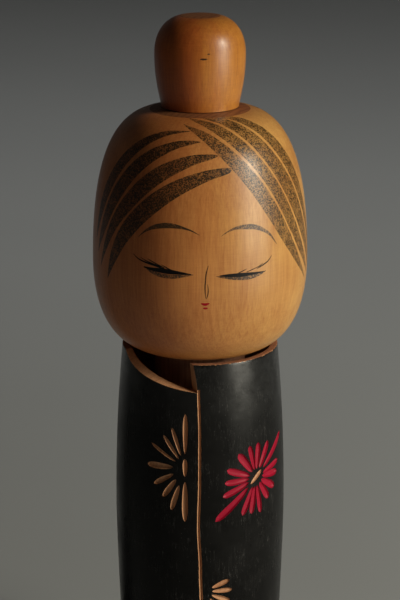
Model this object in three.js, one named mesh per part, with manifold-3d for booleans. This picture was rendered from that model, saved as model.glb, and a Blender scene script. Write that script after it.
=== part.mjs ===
// A turned wooden kokeshi doll in four pieces: a trunk in a black kimono with a hollow
// collar, a plain dowel, a head that turns on the dowel, and a topknot glued in the head.
// Millimetres, +Z up. The origin is the centre of the trunk's foot and the face looks
// along -Y. Azimuths are in degrees, 0 at the front and positive towards +X.

import * as THREE from 'three';
import { mergeVertices } from 'three/addons/utils/BufferGeometryUtils.js';
import Module from 'manifold-3d';

// ---- Driving dimensions ----

const trunkHeight = 149.7;      // foot to collar rim
const footRadius = 28.8;
const footChamfer = 1.2;
const bellyRadius = 32.3;
const bellyHeight = 86;
const rimRadius = 29.3;
const collarWall = 2.6;
const collarDepth = 14;         // rim to the floor of the hollow collar
const neckRadius = 17;
const neckBelowRim = 1.1;
const cupFillet = 2.5;          // round corner between the neck and the cup's floor

const lapelEdgeTop = -7.2;      // azimuth of the upper lapel's front edge at the rim
const lapelEdgeFoot = -4.4;     // and at the point of the neckline
const lapelSlant = 3.4;         // degrees further left where that edge reaches the cup
const necklineDepth = 10.5;     // rim to the point of the neckline
const necklineSag = 5.7;        // rim to the neckline curve's pull point
const necklinePull = -60;       // azimuth of that pull point
const necklineEnd = -72;        // azimuth where the neckline runs out at the rim
const necklineBevel = 1.2;      // how much higher its cut face ends inside than outside
const overlapStart = -1;        // azimuth of the overlap line under the neckline
const overlapWidth = 1.2;
const overlapDepth = 0.8;

const headHeight = 90.2;        // neck seat to the shoulder of the crown
const headRadius = 40;
const headWidestHeight = 33.7;
const headSeatRadius = 17.4;
const crownRadius = 18.5;
const crownRise = 0.8;          // the crown's bare ring climbs this much to the topknot
const topknotSeatRadius = 15.2;

const topknotHeight = 33.1;
const topknotRadius = 16.7;
const topknotWidestHeight = 19.2;
const topknotBaseRadius = 14.3;
const topknotTopRadius = 8.7;
const tenonRadius = 5;
const tenonLength = 11;

const pegRadius = 6;
const pegInTrunk = 25;
const pegInHead = 25;
const pegChamfer = 1;

const clearance = 0.3;          // between any two pieces that meet
const endRoom = 0.8;            // spare depth past the end of a peg or tenon
const turnedSides = 64;         // facets round a turned piece
const boreSides = 32;           // facets round the small dowel
const finestDetail = 0.02;      // slivers that a cut leaves below this size are merged

// ---- Places that follow from them ----

const neckTop = trunkHeight - neckBelowRim;
const headSeat = neckTop + clearance;
const crownTop = headHeight + crownRise;
const boreRadius = pegRadius + clearance;
const tenonBoreRadius = tenonRadius + clearance;

const wasm = await Module();
wasm.setup();

// ---- Helpers ----

const at = (radius, height) => new THREE.Vector2(radius, height);
const radians = THREE.MathUtils.degToRad;

// A round stretch of an outline, from one point to another with a handle at each end.
function arc(start, startHandle, endHandle, end, steps) {
  return new THREE.CubicBezierCurve(start, startHandle, endHandle, end).getPoints(steps);
}

function place(azimuth, radius, height) {
  const angle = radians(azimuth);
  return new THREE.Vector3(radius * Math.sin(angle), -radius * Math.cos(angle), height);
}

// Turns an outline of (radius, height) points about +Z.
function turn(outline, sides) {
  const geometry = new THREE.LatheGeometry(outline, sides);
  geometry.rotateX(Math.PI / 2);
  return geometry;
}

function toSolid(geometry) {
  const bare = geometry.clone();
  bare.deleteAttribute('normal');
  bare.deleteAttribute('uv');
  const merged = mergeVertices(bare, 1e-4);
  const index = merged.index.array;
  const triangles = [];
  for (let i = 0; i < index.length; i += 3) {
    const [a, b, c] = [index[i], index[i + 1], index[i + 2]];
    if (a !== b && b !== c && c !== a) triangles.push(a, b, c);
  }
  return new wasm.Manifold(new wasm.Mesh({
    numProp: 3,
    vertProperties: new Float32Array(merged.attributes.position.array),
    triVerts: new Uint32Array(triangles),
  }));
}

function toGeometry(solid) {
  const mesh = solid.getMesh();
  const geometry = new THREE.BufferGeometry();
  geometry.setAttribute('position', new THREE.BufferAttribute(mesh.vertProperties, 3));
  geometry.setIndex(new THREE.BufferAttribute(mesh.triVerts, 1));
  geometry.computeVertexNormals();
  return geometry;
}

// The trunk's outer radius at a height: widest at the belly, drawn in above and below.
function wallRadius(height) {
  if (height > bellyHeight) {
    const share = (height - bellyHeight) / (trunkHeight - bellyHeight);
    return bellyRadius - (bellyRadius - rimRadius) * share ** 2;
  }
  const share = (bellyHeight - height) / bellyHeight;
  return bellyRadius - (bellyRadius - footRadius) * share ** 1.5;
}

// Bends a flat outline of (azimuth, height) round the trunk as a block to cut with. Its
// outer face is at one radius, and its inner face follows innerRadius(height).
function wrapRound(outline, innerRadius, outerRadius) {
  const geometry = new THREE.ExtrudeGeometry(new THREE.Shape(outline), {
    depth: 1,
    bevelEnabled: false,
  });
  const position = geometry.attributes.position;
  for (let i = 0; i < position.count; i += 1) {
    const height = position.getY(i);
    const radius = position.getZ(i) > 0.5 ? outerRadius : innerRadius(height);
    const { x, y, z } = place(position.getX(i), radius, height);
    position.setXYZ(i, x, y, z);
  }
  return geometry;
}

// Joins a row of four-cornered sections into one closed block.
function loft(sections) {
  const corners = 4;
  const index = [0, 2, 1, 0, 3, 2];
  for (let i = 0; i < sections.length - 1; i += 1) {
    for (let k = 0; k < corners; k += 1) {
      const [a, b] = [i * corners + k, i * corners + (k + 1) % corners];
      index.push(a, b, b + corners, a, b + corners, a + corners);
    }
  }
  const last = (sections.length - 1) * corners;
  index.push(last, last + 1, last + 2, last, last + 2, last + 3);
  const geometry = new THREE.BufferGeometry().setFromPoints(sections.flat());
  geometry.setIndex(index);
  return geometry;
}

// ---- The trunk ----

function trunkOutline() {
  const points = [at(0, 0), at(wallRadius(0) - footChamfer, 0)];
  const wallSteps = 14;
  for (let i = 0; i <= wallSteps; i += 1) {
    const height = footChamfer + (trunkHeight - footChamfer) * (i / wallSteps);
    points.push(at(wallRadius(height), height));
  }
  const cupFloor = trunkHeight - collarDepth;
  points.push(at(rimRadius - collarWall, trunkHeight));
  points.push(at(rimRadius - collarWall, cupFloor));
  points.push(...arc(
    at(neckRadius + cupFillet, cupFloor),
    at(neckRadius + cupFillet / 2, cupFloor),
    at(neckRadius, cupFloor + cupFillet / 2),
    at(neckRadius, cupFloor + cupFillet),
    4,
  ));
  points.push(at(neckRadius, neckTop));
  points.push(at(boreRadius, neckTop));
  points.push(at(boreRadius, neckTop - pegInTrunk - endRoom));
  points.push(at(0, neckTop - pegInTrunk - endRoom));
  return points;
}

// What is cut from the collar wall to open the neckline: a curve on the left of the
// front, and the upper lapel's front edge. The blade was tilted, so towards the inside of
// the wall the cut climbs, most of all halfway along, and the lapel's edge leans left.
function necklineCutter() {
  const curve = new THREE.QuadraticBezierCurve(
    at(lapelEdgeFoot, trunkHeight - necklineDepth),
    at(necklinePull, trunkHeight - necklineSag),
    at(necklineEnd, trunkHeight + clearance),
  );
  const above = trunkHeight + 2;
  const middleOfCup = (neckRadius + rimRadius) / 2;
  const outside = bellyRadius + collarWall;
  const steps = 16;
  const sections = [];
  for (let i = 0; i <= steps; i += 1) {
    const share = i / steps;
    const low = curve.getPoint(share);
    const high = at(THREE.MathUtils.lerp(lapelEdgeTop, necklineEnd, share), above);
    const climb = 4 * share * (1 - share) * necklineBevel;
    const lean = (1 - share) * lapelSlant;
    const cut = (spot, radius) => {
      const inwards = (rimRadius - radius) / collarWall;
      return place(spot.x - lean * inwards, radius, spot.y + climb * inwards);
    };
    sections.push([
      cut(low, middleOfCup),
      cut(low, outside),
      cut(high, outside),
      cut(high, middleOfCup),
    ]);
  }
  return loft(sections);
}

// The hand-cut groove where one lapel lies over the other. It wavers a little on its way
// from the point of the neckline down to the foot.
function overlapCutter() {
  const top = trunkHeight - necklineDepth + overlapWidth;
  const foot = -overlapWidth;
  const bends = [overlapStart, -0.2, -0.3, 0.6, 1.6, 1.2, 1.8];
  const route = new THREE.SplineCurve(bends.map((azimuth, i) => {
    return at(azimuth, THREE.MathUtils.lerp(top, foot, i / (bends.length - 1)));
  })).getPoints(18);
  const halfTurn = THREE.MathUtils.radToDeg(overlapWidth / 2 / bellyRadius);
  const leftSide = route.map((point) => at(point.x - halfTurn, point.y));
  const rightSide = route.map((point) => at(point.x + halfTurn, point.y)).reverse();
  const bottom = (height) => wallRadius(Math.max(height, 0)) - overlapDepth;
  return wrapRound([...leftSide, ...rightSide], bottom, bellyRadius + overlapDepth);
}

function trunkGeometry() {
  const blank = toSolid(turn(trunkOutline(), turnedSides));
  const opened = blank.subtract(toSolid(necklineCutter()));
  const grooved = opened.subtract(toSolid(overlapCutter()));
  return toGeometry(grooved.simplify(finestDetail));
}

// ---- The dowel ----

function pegGeometry() {
  const length = pegInTrunk + pegInHead;
  return turn([
    at(0, 0),
    at(pegRadius - pegChamfer, 0),
    at(pegRadius, pegChamfer),
    at(pegRadius, length - pegChamfer),
    at(pegRadius - pegChamfer, length),
    at(0, length),
  ], boreSides);
}

// ---- The head, measured up from its seat on the neck ----

function headGeometry() {
  const widest = at(headRadius, headWidestHeight);
  const under = arc(
    at(headSeatRadius, 0),
    at(headSeatRadius + 16.5, 0),
    at(headRadius, headWidestHeight - 18),
    widest,
    11,
  );
  const over = arc(
    widest,
    at(headRadius, headWidestHeight + 25.9),
    at(crownRadius + 17.9, headHeight - 2.9),
    at(crownRadius, headHeight),
    15,
  );
  const outline = [
    at(0, pegInHead + endRoom),
    at(boreRadius, pegInHead + endRoom),
    at(boreRadius, 0),
    ...under,
    ...over.slice(1),
    at(topknotSeatRadius, crownTop),
    at(tenonBoreRadius, crownTop),
    at(tenonBoreRadius, crownTop - tenonLength - endRoom),
    at(0, crownTop - tenonLength - endRoom),
  ];
  return turn(outline, turnedSides);
}

// ---- The topknot, measured up from the head's crown ----

function topknotGeometry() {
  const widest = at(topknotRadius, topknotWidestHeight);
  const lower = arc(
    at(topknotBaseRadius, 0),
    at(topknotBaseRadius, 2.1),
    at(topknotRadius, topknotWidestHeight - 11),
    widest,
    7,
  );
  const upper = arc(
    widest,
    at(topknotRadius, topknotWidestHeight + 7.7),
    at(topknotTopRadius + 3.2, topknotHeight - 2.4),
    at(topknotTopRadius, topknotHeight),
    8,
  );
  return turn([
    at(0, -tenonLength),
    at(tenonRadius, -tenonLength),
    at(tenonRadius, 0),
    ...lower,
    ...upper.slice(1),
    at(0, topknotHeight),
  ], turnedSides);
}

// ---- Materials ----

function lacquer() {
  return new THREE.MeshStandardMaterial({ color: 0x0d0c0b, roughness: 0.36, metalness: 0 });
}

function palePolishedWood() {
  return new THREE.MeshStandardMaterial({ color: 0xc79355, roughness: 0.38, metalness: 0 });
}

function redderWood() {
  return new THREE.MeshStandardMaterial({ color: 0xb0743c, roughness: 0.4, metalness: 0 });
}

function rawDowelWood() {
  return new THREE.MeshStandardMaterial({ color: 0xd9b98a, roughness: 0.7, metalness: 0 });
}

// ---- The doll ----

function piece(name, geometry, material, height) {
  const mesh = new THREE.Mesh(geometry, material);
  mesh.name = name;
  mesh.position.z = height;
  return mesh;
}

const doll = new THREE.Group();
doll.add(piece('trunk', trunkGeometry(), lacquer(), 0));
doll.add(piece('neck_peg', pegGeometry(), rawDowelWood(), neckTop - pegInTrunk));

const turningHead = new THREE.Group();
turningHead.position.z = headSeat;
turningHead.add(piece('head', headGeometry(), palePolishedWood(), 0));
turningHead.add(piece('topknot', topknotGeometry(), redderWood(), crownTop + clearance));
doll.add(turningHead);

export default doll;
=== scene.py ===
# %% [markdown]
# # A turned kokeshi doll
# A kokeshi is a few blocks of wood turned on a lathe, then painted and carved by hand.
# This one has a black kimono trunk with a hollow collar, a honey-coloured head with a
# stippled fringe and closed eyes, and a topknot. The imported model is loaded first: it
# says where each block is, and every finished piece below is built around it.

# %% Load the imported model
import math
import random

import bmesh
import bpy
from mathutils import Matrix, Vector


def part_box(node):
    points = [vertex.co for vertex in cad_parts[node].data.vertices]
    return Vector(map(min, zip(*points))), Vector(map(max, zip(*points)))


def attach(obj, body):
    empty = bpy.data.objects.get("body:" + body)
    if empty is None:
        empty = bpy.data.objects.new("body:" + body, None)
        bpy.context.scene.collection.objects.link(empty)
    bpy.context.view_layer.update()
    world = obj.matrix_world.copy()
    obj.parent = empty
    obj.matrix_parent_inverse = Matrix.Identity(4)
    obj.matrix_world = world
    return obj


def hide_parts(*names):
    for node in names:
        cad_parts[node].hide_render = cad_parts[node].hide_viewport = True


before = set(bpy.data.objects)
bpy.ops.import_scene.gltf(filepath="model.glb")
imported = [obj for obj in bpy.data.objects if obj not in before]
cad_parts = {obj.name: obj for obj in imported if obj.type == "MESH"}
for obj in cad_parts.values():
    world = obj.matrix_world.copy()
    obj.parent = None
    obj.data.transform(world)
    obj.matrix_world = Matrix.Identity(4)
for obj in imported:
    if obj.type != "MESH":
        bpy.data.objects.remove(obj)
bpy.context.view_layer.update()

MM = 0.001


# %% [markdown]
# ## The camera
# The camera looks down a little at the face with a long lens, as for a portrait, so the
# round head keeps its true shape.

# %% Camera
AIM_HEIGHT = 165.9 * MM
CAMERA_DISTANCE = 790 * MM
CAMERA_TILT = math.radians(16.3)
SENSOR = 36.0
FOCAL_IN_FRAME_HEIGHTS = 3.5


def look_at(thing, target):
    thing.rotation_euler = (Vector(target) - thing.location).to_track_quat("-Z", "Y").to_euler()


def add_camera():
    data = bpy.data.cameras.new("studio_camera")
    data.sensor_width = SENSOR
    data.lens = SENSOR * FOCAL_IN_FRAME_HEIGHTS
    data.clip_start = 0.05
    camera = bpy.data.objects.new("studio_camera", data)
    bpy.context.scene.collection.objects.link(camera)
    back = CAMERA_DISTANCE * math.cos(CAMERA_TILT)
    rise = CAMERA_DISTANCE * math.sin(CAMERA_TILT)
    camera.location = (0, -back, AIM_HEIGHT + rise)
    look_at(camera, (0, 0, AIM_HEIGHT))
    bpy.context.scene.camera = camera
    return camera


camera = add_camera()
print("camera stands", [round(v, 3) for v in camera.location])


# %% [markdown]
# ## The light
# One soft light stands to the right like a window, with a wider, weaker glow under it,
# so the left cheek turns into shade, and a very weak fill keeps the black paint
# readable. A fourth light points away from the doll, at the wall behind it.

# %% Lights
DOLL_MIDDLE = (0, 0, 0.16)
WALL_BEHIND = (0, 3.0, 0.2)

# name, azimuth (degrees), height, distance and size (metres), watts, colour, target
LIGHTS = [
    ("window_light", 64, 0.70, 1.15, (0.30, 0.36), 9.7, (1.0, 0.97, 0.83), DOLL_MIDDLE),
    ("window_glow", 60, 0.22, 1.0, (0.50, 0.40), 4.1, (1.0, 0.95, 0.80), DOLL_MIDDLE),
    ("front_fill", -12, 0.55, 1.6, (0.9, 0.9), 0.07, (1.0, 0.70, 0.52), DOLL_MIDDLE),
    ("sweep_light", 180, 1.1, 0.5, (1.0, 0.5), 3.7, (0.97, 0.98, 0.96), WALL_BEHIND),
]


def add_soft_light(name, azimuth, height, distance, size, power, colour, target):
    data = bpy.data.lights.new(name, "AREA")
    data.shape = "RECTANGLE"
    data.size, data.size_y = size
    data.energy = power
    data.color = colour
    light = bpy.data.objects.new(name, data)
    bpy.context.scene.collection.objects.link(light)
    angle = math.radians(azimuth)
    light.location = (distance * math.sin(angle), -distance * math.cos(angle), height)
    look_at(light, target)


for light in LIGHTS:
    add_soft_light(*light)

world = bpy.data.worlds.new("studio_air")
world.use_nodes = True
air = world.node_tree.nodes["Background"].inputs
air["Color"].default_value = (0.66, 0.64, 0.62, 1)
air["Strength"].default_value = 0.025
bpy.context.scene.world = world
bpy.context.scene.view_settings.view_transform = "Standard"
print("lights:", [light[0] for light in LIGHTS])


# %% [markdown]
# ## A small kit for building node trees
# Both the shapes and the finishes below are node trees. Wiring them by hand in code is
# wordy, so this cell makes one helper that feeds a node's inputs, one that adds a node,
# and two short ones for arithmetic and for the sockets of a group.

# %% Node tree kit
def feed(tree, node, inputs):
    """Maps a socket's name or number to a value, or to another socket to link."""
    for key, value in inputs.items():
        if isinstance(value, bpy.types.NodeSocket):
            tree.links.new(value, node.inputs[key])
        else:
            node.inputs[key].default_value = value


def add_node(tree, kind, inputs=None, **settings):
    node = tree.nodes.new(kind)
    for key, value in settings.items():
        setattr(node, key, value)
    feed(tree, node, inputs or {})
    return node


def calc(tree, operation, first, second=0.0, third=0.0, clamp=False):
    """One step of arithmetic, and the socket that holds its answer."""
    inputs = {0: first, 1: second}
    if operation == "MULTIPLY_ADD":
        inputs[2] = third
    node = add_node(tree, "ShaderNodeMath", inputs, operation=operation, use_clamp=clamp)
    return node.outputs[0]


def name_sockets(tree, takes, gives):
    """Gives a group its named inputs, with their starting values, and its outputs."""
    for name, kind, value in takes:
        socket = tree.interface.new_socket(name=name, in_out="INPUT", socket_type=kind)
        if value is not None:
            socket.default_value = value
    for name, kind in gives:
        tree.interface.new_socket(name=name, in_out="OUTPUT", socket_type=kind)


# %% [markdown]
# ## Wood
# Dogwood is pale, dense and almost silky. What the eye reads as wood is five things laid
# over each other: slow changes of tone, growth rings cut lengthwise, hair-fine upright
# fibres, longer flecks, and the faint level lines that burnishing on the lathe leaves.
# One side of a block can also be tinted redder and darker, a painted shade for the side
# that faces away from the window light. All of it is one shader group, so the head, the
# topknot, the dowel and every bare cut share it and only their colours and strengths
# differ. It reads Object coordinates, so paint laid on the head can show the very same
# grain between its dots.

# %% Patterns and colours
COLOUR = "NodeSocketColor"
NUMBER = "NodeSocketFloat"
LOOKS = [("Color", COLOUR), ("Roughness", NUMBER), ("Relief", NUMBER)]


def millimetres(tree, stretch=(1, 1, 1), shift=(0, 0, 0)):
    """Object coordinates in millimetres, stretched and shifted."""
    where = add_node(tree, "ShaderNodeTexCoord").outputs["Object"]
    scale = [1000 * part for part in stretch]
    inputs = {"Vector": where, "Scale": scale, "Location": shift}
    return add_node(tree, "ShaderNodeMapping", inputs).outputs["Vector"]


def noise(tree, vector, scale, detail=3.0, roughness=0.55):
    inputs = {"Vector": vector, "Scale": scale, "Detail": detail, "Roughness": roughness}
    return add_node(tree, "ShaderNodeTexNoise", inputs).outputs["Fac"]


def ramp(tree, factor, low, high, to_low=0.0, to_high=1.0):
    """Stretches the part of a value between low and high to a new range, eased."""
    inputs = {"Value": factor, 1: low, 2: high, 3: to_low, 4: to_high}
    node = add_node(tree, "ShaderNodeMapRange", inputs, interpolation_type="SMOOTHSTEP")
    return node.outputs["Result"]


def blend_colours(tree, factor, first, second, style="MIX"):
    # a Mix node keeps its colour sockets at numbers 6 and 7
    inputs = {0: factor, 6: first, 7: second}
    return add_node(tree, "ShaderNodeMix", inputs, data_type="RGBA", blend_type=style).outputs[2]


def axis_of(tree, axis, vector=None):
    """One of a place's X, Y and Z, by default of its millimetres."""
    place = {0: vector or millimetres(tree)}
    return add_node(tree, "ShaderNodeSeparateXYZ", place).outputs[axis]


# %% Wood group
def build_wood_group():
    tree = bpy.data.node_groups.new("turned_wood_figure", "ShaderNodeTree")
    name_sockets(
        tree,
        [
            ("Pale", COLOUR, (0.62, 0.36, 0.14, 1)),
            ("Dark", COLOUR, (0.42, 0.2, 0.07, 1)),
            ("Ring Width", NUMBER, 2.4),
            ("Ring Strength", NUMBER, 0.3),
            ("Fibre Strength", NUMBER, 0.3),
            ("Burnish Strength", NUMBER, 0.15),
            ("Gloss", NUMBER, 0.4),
            # how far the painted shade of the left side reaches, and its tint
            ("Shade Side From", NUMBER, 20.0),
            ("Shade Side Color", COLOUR, (1, 1, 1, 1)),
        ],
        LOOKS,
    )
    given = add_node(tree, "NodeGroupInput").outputs
    plain = millimetres(tree)
    tone = ramp(tree, noise(tree, plain, 0.045, 2.0), 0.3, 0.7)
    # growth rings: distance from a pith well outside the block, bent by slow noise
    bend = noise(tree, millimetres(tree, (1, 1, 0.12)), 0.035, 2.0)
    from_pith = add_node(
        tree,
        "ShaderNodeVectorMath",
        {0: millimetres(tree, (1, 1, 0.01), (210, -120, 0))},
        operation="LENGTH",
    ).outputs["Value"]
    bent = calc(tree, "MULTIPLY_ADD", bend, 9.0, from_pith)
    rings = calc(tree, "FRACT", calc(tree, "DIVIDE", bent, given["Ring Width"]))
    late_wood = ramp(tree, rings, 0.35, 0.95)
    early_edge = ramp(tree, rings, 0.95, 1.0, 1.0, 0.0)
    ring_mask = calc(tree, "MULTIPLY", late_wood, early_edge)
    # fibres run up the block; the burnisher's lines run round it
    fibre = noise(tree, millimetres(tree, (1, 1, 0.03)), 1.7, 5.0, 0.75)
    fleck = noise(tree, millimetres(tree, (1, 1, 0.05), (9, 4, 2)), 0.5, 2.0)
    fibre_mask = ramp(tree, fibre, 0.34, 0.70)
    burnish = noise(tree, millimetres(tree, (0.10, 0.10, 1)), 1.9, 3.0, 0.65)
    parts = calc(tree, "MULTIPLY", ring_mask, given["Ring Strength"])
    parts = calc(tree, "MULTIPLY_ADD", fibre_mask, given["Fibre Strength"], parts)
    parts = calc(tree, "MULTIPLY_ADD", burnish, given["Burnish Strength"], parts)
    parts = calc(tree, "MULTIPLY_ADD", ramp(tree, fleck, 0.3, 0.75), 0.16, parts)
    parts = calc(tree, "MULTIPLY_ADD", tone, 0.26, parts, clamp=True)
    colour = blend_colours(tree, parts, given["Pale"], given["Dark"])
    # painted shade: the left side, away from the window light, is tinted redder and darker
    across = axis_of(tree, "X", plain)
    streaks = noise(tree, millimetres(tree, (1, 1, 0.02)), 0.22, 3.0)
    across = calc(tree, "MULTIPLY_ADD", streaks, 16.0, calc(tree, "SUBTRACT", across, 8.0))
    share = calc(tree, "DIVIDE", across, given["Shade Side From"])
    # heart is the painted shade's share, growing towards the left side
    heart = ramp(tree, share, 1.0, -0.8)
    tinted = blend_colours(tree, 1.0, colour, given["Shade Side Color"], "MULTIPLY")
    colour = blend_colours(tree, heart, colour, tinted)
    rough = calc(tree, "MULTIPLY_ADD", fibre_mask, 0.08, given["Gloss"])
    rough = calc(tree, "MULTIPLY_ADD", tone, 0.06, rough)
    relief = calc(tree, "MULTIPLY_ADD", burnish, 0.4, fibre)
    add_node(tree, "NodeGroupOutput", {"Color": colour, "Roughness": rough, "Relief": relief})
    return tree


wood_figure = build_wood_group()
print("wood group:", len(wood_figure.nodes), "nodes")


# %% [markdown]
# ## Finishes made from a group
# A finish is one Principled shader. A group gives it a colour, a roughness and a relief,
# and the relief becomes a bump a few hundredths of a millimetre deep: deeper for open
# grain, shallower for brushed and for dabbed paint. Each wood is one line of settings.

# %% Woods
GRAIN_DEPTH = 0.05 * MM
BRUSH_DEPTH = 0.04 * MM
DAB_DEPTH = 0.03 * MM


def surface(name, socket_values=None):
    """A new material with one Principled shader, and its tree and shader."""
    material = bpy.data.materials.new(name)
    material.use_nodes = True
    shader = material.node_tree.nodes["Principled BSDF"]
    for key, value in (socket_values or {}).items():
        shader.inputs[key].default_value = value
    return material, material.node_tree, shader


def group_node(tree, group, inputs):
    return add_node(tree, "ShaderNodeGroup", inputs, node_tree=group).outputs


def lay_on(tree, shader, colour, rough, height, strength, depth):
    """Gives a shader its colour, its roughness and a bump of a strength and depth."""
    inputs = {"Height": height, "Strength": strength, "Distance": depth}
    bump = add_node(tree, "ShaderNodeBump", inputs).outputs["Normal"]
    feed(tree, shader, {"Base Color": colour, "Roughness": rough, "Normal": bump})


def wooden(name, settings, strength=0.2):
    material, tree, shader = surface(name)
    grain = group_node(tree, wood_figure, settings)
    lay_on(tree, shader, *(grain[look] for look, _ in LOOKS), strength, GRAIN_DEPTH)
    return material


STRENGTHS = ("Ring Width", "Ring Strength", "Fibre Strength", "Burnish Strength", "Gloss")


def wood(pale, dark, *strengths):
    """Settings for the wood group: two colours, then a number for each strength."""
    return {"Pale": (*pale, 1), "Dark": (*dark, 1), **dict(zip(STRENGTHS, strengths))}


def shade_side_tint(reach, tint):
    """How far across a block, in mm, the redder, darker painted shade of its left side reaches,
    and its tint.
    """
    return {"Shade Side From": reach, "Shade Side Color": (*tint, 1)}


HEAD_GRAIN = wood((0.70, 0.385, 0.112), (0.37, 0.130, 0.030), 1.9, 0.07, 0.30, 0.30, 0.27)
# painted shade: the head's and the topknot's left sides are tinted redder and darker
HEAD_GRAIN.update(shade_side_tint(28.0, (0.98, 0.63, 0.60)))
TOPKNOT_GRAIN = wood((0.60, 0.250, 0.042), (0.28, 0.082, 0.013), 1.7, 0.07, 0.30, 0.40, 0.27)
TOPKNOT_GRAIN.update(shade_side_tint(11.0, (0.92, 0.55, 0.60)))
END_GRAIN = wood((0.36, 0.135, 0.045), (0.17, 0.052, 0.016), 2.4, 0.45, 0.3, 0.3, 0.5)
CUT_GRAIN = wood((0.66, 0.345, 0.17), (0.34, 0.135, 0.055), 2.4, 0.15, 0.5, 0.1, 0.55)
# painted shade: darker wood for the collar's hollow, the neck and the rim top, which lie in the
# head's shadow
SHADED_CUP_GRAIN = wood((0.46, 0.21, 0.11), (0.20, 0.075, 0.036), 2.4, 0.2, 0.4, 0.4, 0.6)
DOWEL_GRAIN = wood((0.72, 0.52, 0.30), (0.50, 0.32, 0.16), 1.7, 0.4, 0.4, 0.15, 0.6)

head_wood = wooden("waxed_head_wood", HEAD_GRAIN)
end_grain = wooden("bare_end_grain", END_GRAIN, 0.5)
cut_wood = wooden("bare_cut_wood", CUT_GRAIN, 0.8)
shaded_cup_wood = wooden("shaded_collar_wood", SHADED_CUP_GRAIN, 0.6)
dowel_wood = wooden("raw_dowel_wood", DOWEL_GRAIN, 0.5)
print("wood finishes:", head_wood.name, end_grain.name, cut_wood.name, dowel_wood.name)


# %% [markdown]
# ## Topknot wood with its flaw
# The topknot is cut from redder stock, and it has a natural mark: two short level dashes,
# close together, where a tiny bark pocket was turned through. Each is a small dark
# ellipse in the wood's own coordinates, so it stays put on the block however the doll is
# seen.

# %% Topknot finish
# place across and above the seat, then half length and half thickness, all in mm
FLAWS = [(1.3, 19.8, 1.5, 0.42), (3.1, 21.6, 0.7, 0.26)]


def topknot_finish(topknot_floor):
    material, tree, shader = surface("waxed_topknot_wood")
    grain = group_node(tree, wood_figure, TOPKNOT_GRAIN)
    ragged = noise(tree, millimetres(tree), 1.9, 4.0, 0.7)
    inside = 0.0
    for across, up, half_length, half_depth in FLAWS:
        stretch = (1 / half_length, 0, 1 / half_depth)
        height = topknot_floor / MM + up
        shift = (-across / half_length, 0, -height / half_depth)
        place = millimetres(tree, stretch, shift)
        reach = add_node(tree, "ShaderNodeVectorMath", {0: place}, operation="LENGTH")
        edge = calc(tree, "MULTIPLY_ADD", ragged, 1.1, reach.outputs["Value"])
        inside = calc(tree, "MAXIMUM", inside, ramp(tree, edge, 1.55, 1.15))
    front = calc(tree, "LESS_THAN", axis_of(tree, "Y"), 0.0)
    mark = calc(tree, "MULTIPLY", inside, front)
    colour = blend_colours(tree, mark, grain["Color"], (0.03, 0.012, 0.006, 1))
    lay_on(tree, shader, colour, grain["Roughness"], grain["Relief"], 0.2, GRAIN_DEPTH)
    return material


# %% [markdown]
# ## Black kimono paint
# The trunk is brushed black and waxed. Handling leaves patches that are shinier and
# patches that are duller, a few long pale scratches, a little dust, and brown wood
# showing where the rim and the foot rub, and it polishes the wax round the collar. The
# wear is a group of its own, because the red petals and the fine lines of the face are
# the same kind of paint.

# %% Handling wear group
def build_wear_group():
    tree = bpy.data.node_groups.new("handling_wear", "ShaderNodeTree")
    name_sockets(
        tree,
        [
            ("Color", COLOUR, (0.0034, 0.0032, 0.0029, 1)),
            ("Scratch Color", COLOUR, (0.10, 0.095, 0.09, 1)),
            ("Scratches", NUMBER, 1.0),
            ("Dust", NUMBER, 1.0),
            ("Gloss", NUMBER, 0.3),
        ],
        LOOKS,
    )
    given = add_node(tree, "NodeGroupInput").outputs
    smudge = ramp(tree, noise(tree, millimetres(tree), 0.085, 3.0), 0.35, 0.68)
    brushed = noise(tree, millimetres(tree, (1, 1, 0.05)), 1.1, 3.0, 0.6)
    masks = []
    for turn, thread, seed in ((0.5, 0.30, 3.0), (-0.9, 0.24, 17.0), (0.1, 0.36, 31.0)):
        tilted = add_node(
            tree,
            "ShaderNodeMapping",
            {
                "Vector": millimetres(tree, (1, 1, 1), (seed, 2 * seed, seed)),
                "Rotation": (turn, turn * 0.4, turn),
                "Scale": (thread, thread, thread * 0.06),
            },
        ).outputs["Vector"]
        lines = noise(tree, tilted, 4.0, 2.0, 0.5)
        band = calc(tree, "ABSOLUTE", calc(tree, "SUBTRACT", lines, 0.5))
        thin = ramp(tree, band, 0.006, 0.0)
        patch = noise(tree, millimetres(tree, (1, 1, 1), (seed, 0, seed)), 0.09, 2.0)
        masks.append(calc(tree, "MULTIPLY", thin, ramp(tree, patch, 0.52, 0.62)))
    scratches = calc(tree, "MAXIMUM", calc(tree, "MAXIMUM", masks[0], masks[1]), masks[2])
    scratches = calc(tree, "MULTIPLY", scratches, given["Scratches"])
    cells = {"Vector": millimetres(tree), "Scale": 0.42, "Randomness": 1.0}
    specks = add_node(tree, "ShaderNodeTexVoronoi", cells).outputs["Distance"]
    dust = calc(tree, "MULTIPLY", ramp(tree, specks, 0.075, 0.03), given["Dust"])
    marks = calc(tree, "MAXIMUM", scratches, calc(tree, "MULTIPLY", dust, 0.7))
    haze = calc(tree, "MULTIPLY", smudge, 0.03)
    hazed = blend_colours(tree, haze, given["Color"], given["Scratch Color"])
    marked = blend_colours(tree, marks, hazed, given["Scratch Color"])
    rough = calc(tree, "MULTIPLY_ADD", smudge, 0.10, given["Gloss"])
    rough = calc(tree, "MULTIPLY_ADD", brushed, 0.10, rough)
    rough = calc(tree, "MULTIPLY_ADD", marks, 0.25, rough)
    relief = calc(tree, "MULTIPLY_ADD", scratches, -1.5, brushed)
    add_node(tree, "NodeGroupOutput", {"Color": marked, "Roughness": rough, "Relief": relief})
    return tree


handling_wear = build_wear_group()


def painted(name, settings, strength=0.12):
    material, tree, shader = surface(name, {"Specular IOR Level": 0.2})
    wear = group_node(tree, handling_wear, settings)
    lay_on(tree, shader, *(wear[look] for look, _ in LOOKS), strength, BRUSH_DEPTH)
    return material


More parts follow.
